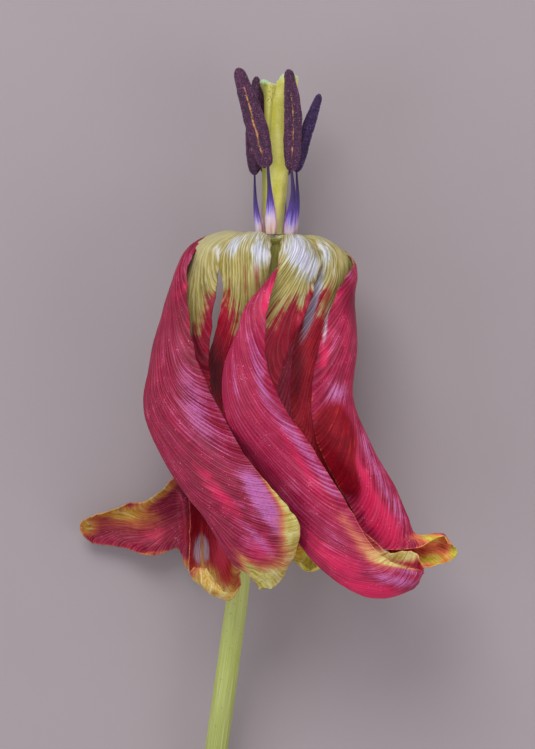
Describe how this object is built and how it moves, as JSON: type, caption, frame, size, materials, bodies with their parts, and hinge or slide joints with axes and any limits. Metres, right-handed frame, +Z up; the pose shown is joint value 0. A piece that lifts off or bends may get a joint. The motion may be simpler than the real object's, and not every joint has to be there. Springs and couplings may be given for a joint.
{
  "type": "wilted tulip",
  "caption": "Wilted cut tulip lying on its side: reflexed, rolled red tepals hanging back along a short cut stem, with bare dark stamens and a pale pistil standing clear.",
  "frame": {"origin": "middle of the outline's box, on the surface the flower lies on", "axes": "+Y from the cut end of the stem towards the pistil, +Z up away from the surface, +X to the right seen from above with the pistil pointing away"},
  "size_m": [0.076, 0.1858, 0.0408],
  "materials": {
    "stem": "waxy pale yellow-green skin, satin",
    "tepal": "crimson, finely ribbed, with a lilac bloom, yellow-green at base and tip",
    "pistil": "smooth pale yellow-green, satin",
    "filament": "violet-blue, pinkish white at the foot, satin",
    "anther": "dark purple, granular with pollen, matt"
  },
  "bodies": {
    "root": {"stem": "stem", "tepal_left": "tepal", "tepal_front_left": "tepal", "tepal_front_right": "tepal", "tepal_right": "tepal", "tepal_back_right": "tepal", "tepal_back_left": "tepal", "pistil": "pistil", "filament_1": "filament", "anther_1": "anther", "filament_2": "filament", "anther_2": "anther", "filament_3": "filament", "anther_3": "anther", "filament_4": "filament", "anther_4": "anther", "filament_5": "filament", "anther_5": "anther", "filament_6": "filament", "anther_6": "anther"}
  },
  "joints": []
}
